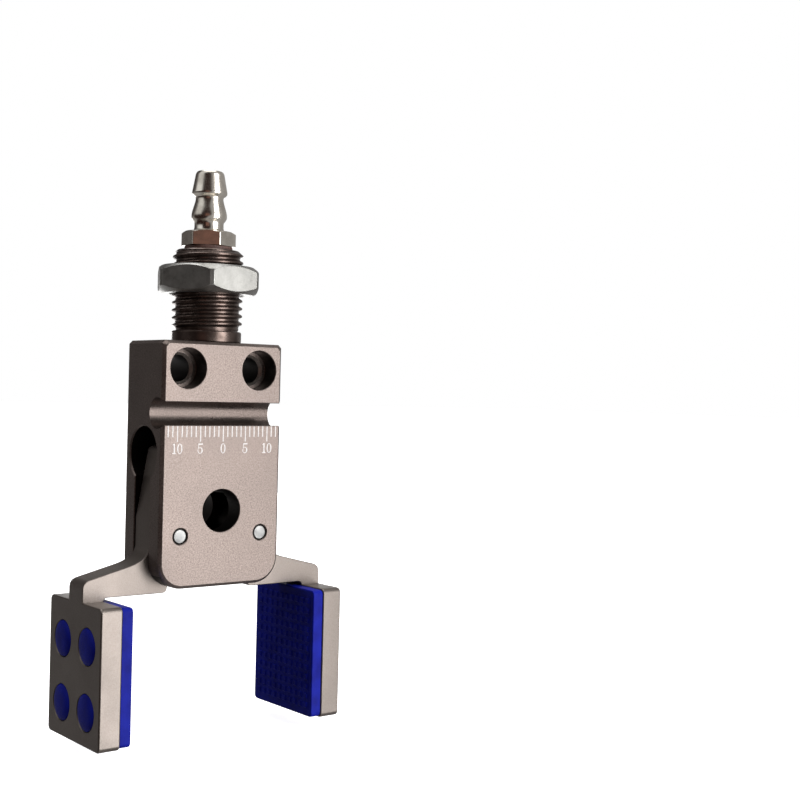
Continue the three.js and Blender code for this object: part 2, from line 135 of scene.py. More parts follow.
def add_camera():
    """The photograph's viewpoint: where it stands, which way it looks, and its slight roll."""
    around = math.radians(CAMERA_AZIMUTH)
    place = Vector((-math.sin(around), -math.cos(around), 0)) * CAMERA_DISTANCE
    place.z = CAMERA_Z
    yaw, pitch, roll = (math.radians(a) for a in (LOOK_YAW, LOOK_PITCH, LOOK_ROLL))
    flat = math.cos(pitch)
    ahead = Vector((math.sin(yaw) * flat, math.cos(yaw) * flat, math.sin(pitch)))
    right = ahead.cross(Vector((0, 0, 1))).normalized()
    up = right.cross(ahead)
    rolled_right = right * math.cos(roll) + up * math.sin(roll)
    rolled_up = up * math.cos(roll) - right * math.sin(roll)
    data = bpy.data.cameras.new("camera")
    data.sensor_width = 36
    data.lens = LENS
    data.clip_start = 0.01
    camera = bpy.data.objects.new("camera", data)
    turn = Matrix((rolled_right, rolled_up, -ahead)).transposed().to_4x4()
    camera.matrix_world = Matrix.Translation(place * MM) @ turn
    show(camera)
    bpy.context.scene.camera = camera


def area_light(name, place, size, power, colour):
    """A soft box that faces the middle of the object."""
    data = bpy.data.lights.new(name, "AREA")
    data.shape = "RECTANGLE"
    data.size, data.size_y = size
    data.energy = power
    data.color = colour
    light = bpy.data.objects.new(name, data)
    light.location = place
    light.rotation_euler = (Vector(MIDDLE) - Vector(place)).to_track_quat("-Z", "Y").to_euler()
    show(light)


def overhead_sun():
    """Even soft light straight down, which keeps the whole floor pale."""
    data = bpy.data.lights.new("overhead", "SUN")
    data.energy = SUN_STRENGTH
    data.angle = math.radians(SUN_SPREAD)
    show(bpy.data.objects.new("overhead", data))


def near_direction(tree, azimuth, elevation, outer, inner):
    """How near a looked-at direction is to a given one: 0 beyond outer degrees, 1 within inner."""
    around = tree.nodes.new("ShaderNodeTexCoord")
    compare = tree.nodes.new("ShaderNodeVectorMath")
    compare.operation = "DOT_PRODUCT"
    a, e = math.radians(azimuth), math.radians(elevation)
    flat = math.cos(e)
    compare.inputs[1].default_value = (-math.sin(a) * flat, -math.cos(a) * flat, math.sin(e))
    fade = tree.nodes.new("ShaderNodeMapRange")
    fade.interpolation_type = "SMOOTHSTEP"
    fade.inputs["From Min"].default_value = math.cos(math.radians(outer))
    fade.inputs["From Max"].default_value = math.cos(math.radians(inner))
    tree.links.new(around.outputs["Generated"], compare.inputs[0])
    tree.links.new(compare.outputs["Value"], fade.inputs["Value"])
    return fade.outputs["Result"]


def feed(tree, socket, value):
    """Gives a socket a number, a colour, or whatever another socket puts out."""
    if isinstance(value, (int, float)):
        socket.default_value = value
    elif isinstance(value, tuple):
        socket.default_value = (*value, 1)
    else:
        tree.links.new(value, socket)


def maths(tree, operation, first, second):
    """One sum on two values, each a number or a socket."""
    node = tree.nodes.new("ShaderNodeMath")
    node.operation = operation
    feed(tree, node.inputs[0], first)
    feed(tree, node.inputs[1], second)
    return node.outputs[0]


def blend(tree, amount, first, second):
    """Mixes two colours, each given as a colour or as a socket."""
    mix = tree.nodes.new("ShaderNodeMixRGB")
    feed(tree, mix.inputs[0], amount)
    feed(tree, mix.inputs[1], first)
    feed(tree, mix.inputs[2], second)
    return mix.outputs[0]


def directional_room(tree):
    """Colour of the room by direction: grey, dark brown round the camera and low on the left."""
    patch = {name: near_direction(tree, *spot) for name, spot in ROOM_PATCHES.items()}
    low_left = maths(tree, "MULTIPLY", patch["left"], patch["below"])
    dark = maths(tree, "MAXIMUM", patch["camera_side"], low_left)
    colour = blend(tree, patch["high_left"], ROOM, ROOM_BRIGHT)
    colour = blend(tree, patch["behind"], colour, ROOM_DIM)
    return blend(tree, dark, colour, ROOM_DARK)


def studio():
    """A white surround for the camera, a grey room for reflections, and the lights."""
    scene = bpy.context.scene
    scene.view_settings.view_transform = "Standard"
    world = bpy.data.worlds.new("studio")
    world.use_nodes = True
    tree = world.node_tree
    room = tree.nodes["Background"]
    tree.links.new(directional_room(tree), room.inputs["Color"])
    white = tree.nodes.new("ShaderNodeBackground")
    white.inputs["Color"].default_value = (1, 1, 1, 1)
    ray = tree.nodes.new("ShaderNodeLightPath")
    pick = tree.nodes.new("ShaderNodeMixShader")
    tree.links.new(ray.outputs["Is Camera Ray"], pick.inputs[0])
    tree.links.new(room.outputs[0], pick.inputs[1])
    tree.links.new(white.outputs[0], pick.inputs[2])
    tree.links.new(pick.outputs[0], tree.nodes["World Output"].inputs["Surface"])
    scene.world = world
    for light in LIGHTS:
        area_light(*light)
    overhead_sun()


def floor():
    """A pale flat floor. It shows and takes shadows, but throws no light back on the metal."""
    bm = bmesh.new()
    corners = ((-1, -1), (1, -1), (1, 1), (-1, 1))
    bm.faces.new([bm.verts.new((x * FLOOR_REACH, y * FLOOR_REACH, FLOOR_Z)) for x, y in corners])
    sheet = object_from("floor", bm)
    sheet.visible_glossy = False
    sheet.visible_diffuse = False
    sheet.visible_shadow = False
    material, tree, shader = new_material("pale_floor")
    shader.inputs["Roughness"].default_value = 0.9
    shader.inputs["Specular IOR Level"].default_value = 0.1
    paper = noise(tree, 3.0, 2)
    ramp(tree, paper, [(0, 0.92), (1, 0.94)], shader, "Base Color")
    shader.inputs["Emission Color"].default_value = (1, 1, 1, 1)
    shader.inputs["Emission Strength"].default_value = FLOOR_GLOW
    sheet.data.materials.append(material)


# ---- material tools ----
def new_material(name):
    """A node material, with its node tree and its main shader."""
    material = bpy.data.materials.new(name)
    material.use_nodes = True
    tree = material.node_tree
    return material, tree, tree.nodes["Principled BSDF"]


def noise(tree, per_metre, detail=2.0, stretch=(1, 1, 1), rough=0.5):
    """A noise value over the object, with that many features to the metre."""
    place = tree.nodes.new("ShaderNodeTexCoord")
    scale = tree.nodes.new("ShaderNodeMapping")
    scale.inputs["Scale"].default_value = stretch
    texture = tree.nodes.new("ShaderNodeTexNoise")
    texture.inputs["Scale"].default_value = per_metre
    texture.inputs["Detail"].default_value = detail
    texture.inputs["Roughness"].default_value = rough
    tree.links.new(place.outputs["Object"], scale.inputs["Vector"])
    tree.links.new(scale.outputs["Vector"], texture.inputs["Vector"])
    return texture.outputs["Fac"]


def ramp(tree, value, stops, shader, socket):
    """Feeds a shader socket from a value through (position, colour or number) stops."""
    node = tree.nodes.new("ShaderNodeValToRGB")
    elements = node.color_ramp.elements
    while len(elements) < len(stops):
        elements.new(0.5)
    for element, (position, colour) in zip(elements, stops):
        element.position = position
        if isinstance(colour, (int, float)):
            colour = (colour,) * 3
        element.color = (*colour, 1)
    tree.links.new(value, node.inputs["Fac"])
    tree.links.new(node.outputs["Color"], shader.inputs[socket])


def bump(tree, heights, shader):
    """Stacks bumps, each (height value, depth in millimetres), onto a shader's normal."""
    normal = None
    for value, depth in heights:
        node = tree.nodes.new("ShaderNodeBump")
        node.inputs["Strength"].default_value = 1.0
        node.inputs["Distance"].default_value = depth * MM
        tree.links.new(value, node.inputs["Height"])
        if normal:
            tree.links.new(normal, node.inputs["Normal"])
        normal = node.outputs["Normal"]
    tree.links.new(normal, shader.inputs["Normal"])


def blasted_anodised(name, dark, light, roughness, grains):
    """Bead-blasted, anodised aluminium: fine sparkle of grains over slow patches of tone."""
    material, tree, shader = new_material(name)
    shader.inputs["Metallic"].default_value = 0.86
    fine = noise(tree, grains, 3.0, rough=0.7)
    slow = noise(tree, 120, 3.0)
    part_fine = maths(tree, "MULTIPLY", fine, 0.75)
    part_slow = maths(tree, "MULTIPLY", slow, 0.25)
    tone = maths(tree, "ADD", part_fine, part_slow)
    ramp(tree, tone, [(0.32, dark), (0.68, light)], shader, "Base Color")
    ramp(tree, slow, [(0.3, roughness - 0.06), (0.7, roughness + 0.06)], shader, "Roughness")
    bump(tree, [(fine, 0.012), (slow, 0.01)], shader)
    return material


def turned_metal(name, dark, light, roughness, metallic=1.0, axis=2):
    """Metal with fine turning or drawing lines across one axis, and faint handling marks."""
    material, tree, shader = new_material(name)
    shader.inputs["Metallic"].default_value = metallic
    stretch = [0.06, 0.06, 0.06]
    stretch[axis] = 1.0
    lines = noise(tree, 9000, 2.0, stretch)
    marks = noise(tree, 420, 4.0)
    ramp(tree, marks, [(0.35, dark), (0.62, light)], shader, "Base Color")
    ramp(tree, marks, [(0.3, roughness + 0.08), (0.7, roughness - 0.04)], shader, "Roughness")
    bump(tree, [(lines, 0.004), (marks, 0.006)], shader)
    return material


def scratched_plating(name):
    """Dull nickel plate with blotches, pits and fine scuffs from spanners and handling."""
    material, tree, shader = new_material(name)
    shader.inputs["Metallic"].default_value = 1.0
    patches = noise(tree, 330, 6.0, rough=0.7)
    scuffs = noise(tree, 1500, 3.0, (1, 1, 0.6), rough=0.6)
    pits = noise(tree, 7000, 2.0)
    dull, plain, bright = (0.13, 0.125, 0.115), (0.23, 0.227, 0.215), (0.30, 0.295, 0.28)
    ramp(tree, patches, [(0.28, dull), (0.42, plain), (0.7, bright)], shader, "Base Color")
    ramp(tree, scuffs, [(0.35, 0.31), (0.7, 0.42)], shader, "Roughness")
    bump(tree, [(scuffs, 0.004), (pits, 0.001)], shader)
    return material


def elastomer(name, dark, light, roughness):
    """Moulded elastomer: satin, slightly mottled, with a soft skin texture."""
    material, tree, shader = new_material(name)
    shader.inputs["Specular IOR Level"].default_value = 0.08
    mottled = noise(tree, 300, 4.0)
    skin = noise(tree, 5200, 2.0)
    ramp(tree, mottled, [(0.3, dark), (0.7, light)], shader, "Base Color")
    ramp(tree, skin, [(0.3, roughness - 0.05), (0.7, roughness + 0.08)], shader, "Roughness")
    bump(tree, [(skin, 0.01), (mottled, 0.02)], shader)
    return material


def fibre(name):
    """Pressed red-brown fibre, its strands lying flat."""
    material, tree, shader = new_material(name)
    strands = noise(tree, 2600, 4.0, (1, 1, 4))
    tones = [(0.3, (0.05, 0.022, 0.017)), (0.7, (0.12, 0.058, 0.045))]
    ramp(tree, strands, tones, shader, "Base Color")
    shader.inputs["Roughness"].default_value = 0.62
    bump(tree, [(strands, 0.02)], shader)
    return material


def laser_mark(name):
    """The grainy off-white that a laser leaves in an anodised face."""
    material, tree, shader = new_material(name)
    grains = noise(tree, 9000, 2.0)
    tones = [(0.25, (0.52, 0.50, 0.485)), (0.6, (0.80, 0.785, 0.775))]
    ramp(tree, grains, tones, shader, "Base Color")
    shader.inputs["Roughness"].default_value = 0.8
    bump(tree, [(grains, 0.004)], shader)
    return material


# ---- mesh tools: shapes in millimetres ----
def object_from(name, bm):
    """Turns a drawn mesh into an object of the scene."""
    bmesh.ops.recalc_face_normals(bm, faces=bm.faces)
    mesh = bpy.data.meshes.new(name)
    bm.to_mesh(mesh)
    bm.free()
    made = bpy.data.objects.new(name, mesh)
    show(made)
    return made


def loops_to_solid(bm, rows, closed_ends):
    """Skins rings of vertices; the ends are faces, or the last ring joins the first."""
    count = len(rows[0])
    rings = rows if closed_ends else rows + [rows[0]]
    for a, b in zip(rings, rings[1:]):
        for i in range(count):
            j = (i + 1) % count
            bm.faces.new((a[i], a[j], b[j], b[i]))
    if closed_ends:
        bm.faces.new(rows[0])
        bm.faces.new(list(reversed(rows[-1])))


AXES = {"x": (1, 2, 0), "y": (2, 0, 1), "z": (0, 1, 2)}


def on_axis(u, v, w, axis):
    """A point from two coordinates across an axis and one along it."""
    point = [0, 0, 0]
    first, second, along = AXES[axis]
    point[first], point[second], point[along] = u, v, w
    return point


def ring_of(bm, radius_at, s, axis="z", count=FINE):
    """A ring of vertices round an axis; radius_at takes how far round a point is, from 0 to 1."""
    row = []
    for i in range(count):
        a = 2 * math.pi * i / count
        r = radius_at(i / count)
        row.append(bm.verts.new(on_axis(r * math.cos(a), r * math.sin(a), s, axis)))
    return row


def plain_rings(bm, profile, axis="z", count=FINE):
    """Round rings from (radius, distance along the axis) pairs."""
    return [ring_of(bm, lambda t, r=r: r, s, axis, count) for r, s in profile]


def lathe(name, profile, axis, centre=(0, 0, 0), count=FINE):
    """A turned solid from (radius, distance along the axis) pairs.

    A profile that starts and ends on the axis is solid; any other is closed to a ring."""
    solid = profile[0][0] == 0 and profile[-1][0] == 0
    bm = bmesh.new()
    loops_to_solid(bm, plain_rings(bm, profile[1:-1] if solid else profile, axis, count), solid)
    bmesh.ops.translate(bm, verts=bm.verts, vec=Vector(centre))
    return object_from(name, bm)


def rod(radius, lo, hi):
    """The profile of a plain cylinder."""
    return [(0, lo), (radius, lo), (radius, hi), (0, hi)]


def doubled(profile):
    """A profile that runs up to its middle at 0, followed by its mirror image."""
    return profile + [(r, -s) for r, s in reversed(profile)]


def mouth_profile(radius, lo, hi, flare):
    """A through-hole cutter with a small chamfer at both mouths."""
    wide = radius + flare + PAST
    return [
        (0, lo - PAST), (wide, lo - PAST), (radius, lo + flare),
        (radius, hi - flare), (wide, hi + PAST), (0, hi + PAST),
    ]


def ring_profile(radius, section, at, steps=16):
    """The round section of an O-ring."""
    return arc(radius, at, section, 0, 360, steps)[:-1]


def prism(name, sections, axis):
    """A solid skinned through outlines: each section is (list of 2-D points, place on axis)."""
    bm = bmesh.new()
    rows = [[bm.verts.new(on_axis(u, v, s, axis)) for u, v in points] for points, s in sections]
    loops_to_solid(bm, rows, True)
    return object_from(name, bm)


def both_rims(side, half):
    """Turns the (inset, depth) pairs of one rim into (inset, place) pairs from -half to half."""
    front = [(inset, -half + deep) for inset, deep in side]
    return front + [(inset, half - deep) for inset, deep in reversed(side)]


def eased(half, edge, steps=4):
    """(inset, place) pairs that round the rims of a slab from -half to half."""
    turns = [i / steps * math.pi / 2 for i in range(steps + 1)]
    return both_rims([(edge * (1 - math.sin(a)), edge * (1 - math.cos(a))) for a in turns], half)


def bevelled(half, edge):
    """(inset, place) pairs that chamfer the rims of a slab, softened where the chamfer ends."""
    soft = edge * 0.12
    return both_rims([(edge, 0), (edge - soft, soft * 0.4), (soft * 0.4, edge - soft), (0, edge)], half)


def arc(cx, cy, r, a0, a1, steps):
    """Points on an arc, angles in degrees."""
    points = []
    for i in range(steps + 1):
        a = math.radians(a0 + (a1 - a0) * i / steps)
        points.append((cx + r * math.cos(a), cy + r * math.sin(a)))
    return points


def rounded_rectangle(x0, x1, y0, y1, r, steps=10):
    """A rectangle's outline with round corners."""
    return (
        arc(x1 - r, y0 + r, r, -90, 0, steps) + arc(x1 - r, y1 - r, r, 0, 90, steps)
        + arc(x0 + r, y1 - r, r, 90, 180, steps) + arc(x0 + r, y0 + r, r, 180, 270, steps)
    )


def bezier(p0, p1, p2, p3, steps):
    """Points on a curve with two handles, after the first."""
    points = []
    for i in range(1, steps + 1):
        t = i / steps
        weights = ((1 - t) ** 3, 3 * t * (1 - t) ** 2, 3 * t * t * (1 - t), t**3)
        points.append(tuple(
            sum(w * p[k] for w, p in zip(weights, (p0, p1, p2, p3))) for k in (0, 1)
        ))
    return points


def curve(p0, p1, p2, steps=8):
    """Points on a curve with one handle, after the first."""
    first = tuple(a + (b - a) * 2 / 3 for a, b in zip(p0, p1))
    second = tuple(c + (b - c) * 2 / 3 for c, b in zip(p2, p1))
    return bezier(p0, first, second, p2, steps)


def inset_outline(points, inset):
    """Moves a closed outline inwards by an even amount."""
    if not inset:
        return points
    count = len(points)
    area = 0
    for (x0, y0), (x1, y1) in zip(points, points[1:] + points[:1]):
        area += x0 * y1 - x1 * y0
    way = 1 if area > 0 else -1
    moved = []
    for i in range(count):
        before, here, after = (Vector(points[(i + k) % count]) for k in (-1, 0, 1))
        a = (here - before).normalized()
        b = (after - here).normalized()
        normal_a, normal_b = Vector((-a.y, a.x)) * way, Vector((-b.y, b.x)) * way
        middle = (normal_a + normal_b).normalized()
        reach = min(inset / max(middle.dot(normal_a), 0.3), inset * 2)
        moved.append(tuple(here + middle * reach))
    return moved


def apply_modifier(made, change):
    """Makes a modifier's result part of the mesh."""
    with bpy.context.temp_override(object=made, active_object=made):
        bpy.ops.object.modifier_apply(modifier=change.name)


def combine(target, tool, operation):
    """Applies one exact boolean to target and removes the tool."""
    change = target.modifiers.new("cut", "BOOLEAN")
    change.operation = operation
    change.solver = "EXACT"
    change.object = tool
    apply_modifier(target, change)
    bpy.data.objects.remove(tool, do_unlink=True)
    return target


def cut(target, tool):
    """Takes a tool's shape out of the target."""
    combine(target, tool, "DIFFERENCE")


def join(target, tool):
    """Adds a tool's shape to the target."""
    combine(target, tool, "UNION")


def finish_mesh(made):
    """Tidies a finished shape: welds slivers, keeps crisp edges, and goes from mm to metres."""
    bm = bmesh.new()
    bm.from_mesh(made.data)
    bmesh.ops.remove_doubles(bm, verts=bm.verts, dist=WELD)
    bmesh.ops.recalc_face_normals(bm, faces=bm.faces)
    for edge in bm.edges:
        bends = len(edge.link_faces) == 2 and edge.calc_face_angle(0) > SHARP
        edge.smooth = not bends
    for face in bm.faces:
        face.smooth = True
    bmesh.ops.scale(bm, verts=bm.verts, vec=(MM, MM, MM))
    bm.to_mesh(made.data)
    bm.free()
    even_shading(made)


def even_shading(made):
    """Lets wide flat faces keep their own direction, so that only the small edges look round."""
    change = made.modifiers.new("even", "WEIGHTED_NORMAL")
    change.mode = "FACE_AREA"
    change.weight = 60
    change.keep_sharp = True
    apply_modifier(made, change)


def settle(made, material, body, node=None):
    """Finishes a piece: mesh, material, body, and the CAD node that it stands for."""
    finish_mesh(made)
    made.data.materials.clear()
    made.data.materials.append(material)
    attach(made, body)
    if node:
        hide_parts(node)


def mirror_copy(made, name):
    """A copy of an unfinished shape on the other side of x = 0."""
    other = made.copy()
    other.data = made.data.copy()
    other.name = name
    other.data.name = name
    show(other)
    other.data.transform(Matrix.Scale(-1, 4, (1, 0, 0)))
    other.data.flip_normals()
    return other


def both_sides(shape, material, node, mover=None):
    """Settles a left-hand shape and its mirror image, on the two movers or on the still body."""
    name = shape.name
    pair = {"left": shape, "right": mirror_copy(shape, f"{name}_right")}
    shape.name = f"{name}_left"
    for side, made in pair.items():
        body = f"{side}_{mover}" if mover else "body"
        settle(made, material, body, f"{node}_{side}")
    return pair.values()


# ---- housing ----
MOUTH_FLARE = 0.12  # the usual broken edge round a hole
SLOT_FLARE = 0.15
SLOT_OVERLAP = 0.5  # how far the right half of the lever slot runs into the left half
# the block's own finish, then painted shade in the groove, the bores and the deepest openings, and a
# painted highlight on the screw seats
PLAIN_FINISH, GROOVE_SHADE, BORE_SHADE, DEEP_SHADE, SEAT_HIGHLIGHT = range(5)


def housing_outline(inset):
    """The block's front outline, moved inwards: round feet below, small chamfers above."""
    half, low, high = HALF_W - inset, BOTTOM + inset, TOP - inset
    foot = FOOT - inset
    points = arc(half - foot, low + foot, foot, -90, 0, steps=20)
    points += [(half, high - EDGE), (half - EDGE, high)]
    points += [(-half + EDGE, high), (-half, high - EDGE)]
    points += arc(-half + foot, low + foot, foot, 180, 270, steps=20)
    return [(z, x) for x, z in points]


def groove_cutter():
    """The round clamp groove across the front face, its long edges broken."""
    centre = -HALF_D + GROOVE_INSET
    start = math.degrees(math.atan2(-GROOVE_INSET, GROOVE_OPEN))
    points = arc(0, 0, GROOVE_R, start, 180 - start, steps=72)
    points = [(centre + v, GROOVE_Z + u) for u, v in points]
    points[0] = (-HALF_D + GROOVE_FLARE, points[0][1])
    points[-1] = (-HALF_D + GROOVE_FLARE, points[-1][1])
    reach = GROOVE_OPEN + GROOVE_FLARE + PAST
    points += [(-HALF_D - PAST, GROOVE_Z - reach), (-HALF_D - PAST, GROOVE_Z + reach)]
    return prism("groove", [(points, -HALF_W - PAST), (points, HALF_W + PAST)], "x")


def slot_cutter(x0, x1, z0, z1):
    """A lever slot from x0 out to the side face at x1, its edges there broken."""
    way = math.copysign(1, x1)
    near_face = way * (HALF_W - SLOT_FLARE)
    far = way * (HALF_W + PAST)
    wide = SLOT_HALF + SLOT_FLARE + PAST
    side = [(x0, SLOT_HALF), (near_face, SLOT_HALF), (far, wide)]
    points = side + [(x, -y) for x, y in reversed(side)]
    return prism("slot", [(points, z0), (points, z1)], "z")


def clamp_cutter(side):
    """A counterbored screw hole; its floor steps down to the hole in a chamfered seat."""
    seat_y, soft = -HALF_D + HEAD_DEEP, 0.08
    wide, back = HEAD_R + MOUTH_FLARE + PAST, SCREW_R + MOUTH_FLARE + PAST
    profile = [
        (0, -HALF_D - PAST), (wide, -HALF_D - PAST), (HEAD_R, -HALF_D + MOUTH_FLARE),
        (HEAD_R, seat_y - soft), (HEAD_R - soft, seat_y), (SCREW_R + SCREW_STEP, seat_y),
        (SCREW_R, seat_y + SCREW_STEP), (SCREW_R, HALF_D - MOUTH_FLARE),
        (back, HALF_D + PAST), (0, HALF_D + PAST),
    ]
    return lathe("clamp", profile, "y", (side * CLAMP_X, 0, CLAMP_Z))


def in_the_groove(place):
    """True on the wall of the round groove across the front face."""
    off_axis = math.hypot(place.y + HALF_D - GROOVE_INSET, place.z - GROOVE_Z)
    return place.y > -HALF_D + GROOVE_FLARE + 0.02 and abs(off_axis - GROOVE_R) < 0.03


def inside_the_block(place):
    """True deeper than the chamfered skin of the block."""
    skin = EDGE + 0.05
    deep = abs(place.x) < HALF_W - skin and abs(place.y) < HALF_D - skin
    return deep and BOTTOM + skin < place.z < TOP - skin


def painted_opening_tone(face):
    """Which tone a face of the block gets: painted shade in the openings, darker the deeper they lie,
    and a painted highlight on the screw seats.
    """
    place = face.center / MM
    if in_the_groove(place):
        return GROOVE_SHADE
    if not inside_the_block(place):
        return PLAIN_FINISH
    off_screw = math.hypot(abs(place.x) - CLAMP_X, place.z - CLAMP_Z)
    if off_screw < SCREW_R + 0.01 or place.z < BORE_Z + BORE_R + 0.5:
        return DEEP_SHADE
    if off_screw < SCREW_R + SCREW_STEP:
        return SEAT_HIGHLIGHT
    faces_front = face.normal.y <= -0.6
    return PLAIN_FINISH if faces_front else BORE_SHADE


def make_housing(*plain_and_painted_tones):
    """The block with all its openings; its own finish and the painted tones come in the order of the
    PLAIN_FINISH, _SHADE and _HIGHLIGHT numbers.
    """
    sections = [(housing_outline(inset), y) for inset, y in bevelled(HALF_D, EDGE)]
    block = prism("housing_block", sections, "y")
    cut(block, groove_cutter())
    bore = mouth_profile(BORE_R, -HALF_W, HALF_W, 0.25)
    cut(block, lathe("bore", bore, "x", (0, 0, BORE_Z)))
    cut(block, slot_cutter(0, -HALF_W, BOTTOM - PAST, SLOT_TOP))
    cut(block, slot_cutter(-SLOT_OVERLAP, HALF_W, BOTTOM - PAST, SLOT_TOP))
    for side in (-1, 1):
        cut(block, slot_cutter(side * TIP_SLOT, side * HALF_W, SLOT_TOP - 1, BORE_Z))
        cut(block, clamp_cutter(side))
        pin = mouth_profile(PIN_R + 0.03, -HALF_D, HALF_D, 0.18)
        cut(block, lathe("pin", pin, "y", (side * PIVOT_X, 0, PIVOT_Z), SMALL))
    window = mouth_profile(WINDOW_R, -HALF_D, HALF_D, 0.1)
    cut(block, lathe("window", window, "y", (0, 0, WINDOW_Z)))
    cut(block, lathe("socket", rod(SOCKET_R, SOCKET_FLOOR, TOP + 5), "z", count=SMALL))
    cut(block, lathe("air_hole", rod(AIR_R, BORE_Z, AIR_TOP), "z", count=SMALL))
    settle(block, plain_and_painted_tones[PLAIN_FINISH], "body", "housing")
    for painted_tone in plain_and_painted_tones[1:]:
        block.data.materials.append(painted_tone)
    # painted shade and painted highlight, face by face, in the openings
    for face in block.data.polygons:
        face.material_index = painted_opening_tone(face)


# ---- scale on the front face ----
MARK_LAYERS = (-HALF_D - 0.012, -HALF_D + 0.01)  # a mark stands a hair proud of the face
MARK_HALF = 0.11
SCALE_REACH, LONG_TICK, SHORT_TICK = 12, 3.0, 2.1
NUMERAL_DROP, NUMERAL_TALL = 4.3, 1.95


def flat_mark(bm, points):
    """A thin raised shape on the front face from points in X and Z."""
    rows = [[bm.verts.new((x, y, z)) for x, z in points] for y in MARK_LAYERS]
    loops_to_solid(bm, rows, True)


def tick(bm, x, top, length):
    """One graduation."""
    low, left, right = top - length, x - MARK_HALF, x + MARK_HALF
    flat_mark(bm, [(left, low), (right, low), (right, top), (left, top)])


def numeral_zero(bm, x, z, tall):
    """A round figure with thick flanks and thin crown and foot."""
    steps = 28
    wide, stroke, thin = tall * 0.29, tall * 0.13, tall * 0.055
    outer, inner = [], []
    for i in range(steps):
        a = 2 * math.pi * i / steps
        outer.append((x + wide * math.cos(a), z + tall / 2 * math.sin(a)))
        inner.append((x + (wide - stroke) * math.cos(a), z + (tall / 2 - thin) * math.sin(a)))
    front, back = MARK_LAYERS
    around = ((outer, front), (outer, back), (inner, back), (inner, front))
    rows = [[bm.verts.new((px, y, pz)) for px, pz in ring] for ring, y in around]
    loops_to_solid(bm, rows, False)


def numeral_one(bm, x, z, tall):
    """A stem with a flag and a foot serif, drawn as one outline."""
    half, low, high = tall * 0.065, z - tall / 2, z + tall / 2
    foot, flag, serif = tall * 0.2, tall * 0.2, tall * 0.06
    flag_top = high - tall * 0.13
    flat_mark(bm, [
        (x - foot, low), (x + foot, low), (x + foot, low + serif), (x + half, low + serif * 1.6),
        (x + half, high), (x - half * 0.6, high), (x - flag, flag_top),
        (x - flag, high - tall * 0.18), (x - half, flag_top), (x - half, low + serif * 1.6),
        (x - foot, low + serif),
    ])


def numeral_five(bm, x, z, tall):
    """A flat top, a short neck and an open bowl, drawn as one outline."""
    low, high = z - tall / 2, z + tall / 2
    left, right = x - tall * 0.25, x + tall * 0.27
    bowl_z, outer, inner = low + tall * 0.31, tall * 0.31, tall * 0.215
    outline = [
        (left, bowl_z + tall * 0.16), (left + tall * 0.03, high), (right, high),
        (right - tall * 0.02, high - tall * 0.12), (left + tall * 0.1, high - tall * 0.12),
        (left + tall * 0.07, bowl_z + tall * 0.27),
    ]
    for i in range(28):
        a = math.radians(118 - 12 * i)
        outline.append((x - tall * 0.02 + outer * 0.92 * math.cos(a), bowl_z + outer * math.sin(a)))
    for i in range(27):
        a = math.radians(-200 + 12 * i)
        across, up = inner * 0.85 * math.cos(a), inner * 1.18 * math.sin(a)
        outline.append((x - tall * 0.05 + across, bowl_z + up))
    flat_mark(bm, outline)


def make_scale(material):
    """Millimetre graduations under the groove, numbered 10-5-0-5-10 from the middle."""
    bm = bmesh.new()
    top = GROOVE_Z - GROOVE_OPEN - GROOVE_FLARE
    for x in range(-SCALE_REACH, SCALE_REACH + 1):
        tick(bm, x, top, LONG_TICK if x % 5 == 0 else SHORT_TICK)
    centre = top - NUMERAL_DROP
    numeral_zero(bm, 0, centre, NUMERAL_TALL)
    for side in (-1, 1):
        numeral_five(bm, side * 5, centre, NUMERAL_TALL)
        numeral_one(bm, side * 10 - 0.62, centre, NUMERAL_TALL)
        numeral_zero(bm, side * 10 + 0.55, centre, NUMERAL_TALL)
    settle(object_from("scale_marks", bm), material, "body")


# ---- jaws: the left one is drawn, and mirrored for the right ----
def lever_outline():
    """The left lever's outline in Z and X: the CAD's line, with finer curves."""
    face, inside, low = PLATE_OUT - PLATE_THICK, PLATE_TOP - 1, LEVER_LOW
    # drawn as (distance out from x = 0, height) pairs
    points = [(face + 1, inside), (face, inside), (face, PLATE_TOP - 0.1)]
    # the underside, from the plate to the heel under the pivot
    points += curve(points[-1], (face - 0.1, low), (face - 0.9, low), steps=6)
    points += [(HEEL_X + 0.9, low)]
    points += curve(points[-1], (HEEL_X, low), (HEEL_X - 0.1, low + 1), steps=6)
    points += [(HEEL_X - 0.2, HEEL_TOP), (LEVER_IN + 1.5, HEEL_TOP)]
    # up the side that faces the other lever, and round the tip
    points += curve(points[-1], (LEVER_IN, HEEL_TOP), (LEVER_IN, HEEL_TOP + 1.5))
    points += [(LEVER_IN, PIVOT_Z + 0.5)]
    points += curve(points[-1], (LEVER_IN, 39.5), (LEVER_IN + 0.6, 40.6))
    points += curve(points[-1], (TIP_IN, 44), (TIP_IN, 46.5), steps=12)
    points += [(TIP_IN, TIP_TOP - 0.8)]
    points += curve(points[-1], (TIP_IN, TIP_TOP), (TIP_IN + 0.8, TIP_TOP))
    points += [(TIP_OUT - 1.1, TIP_TOP)]
    points += curve(points[-1], (TIP_OUT - 0.2, TIP_TOP), (TIP_OUT, TIP_TOP - 1.1))
    # down the leaning back, over the shoulder and along the arm to the plate
    points += [(LEVER_BACK, 41), (LEVER_BACK, 35.4)]
    points += bezier(points[-1], (13.3, 33.6), (15.1, 32.75), (17.2, 32.15), steps=14)
    points += [(25.1, 30.15)]
    points += curve(points[-1], (PLATE_OUT, 29.8), (PLATE_OUT, 28.4), steps=10)
    points += [(PLATE_OUT, inside)]
    return [(z, -out) for out, z in points]


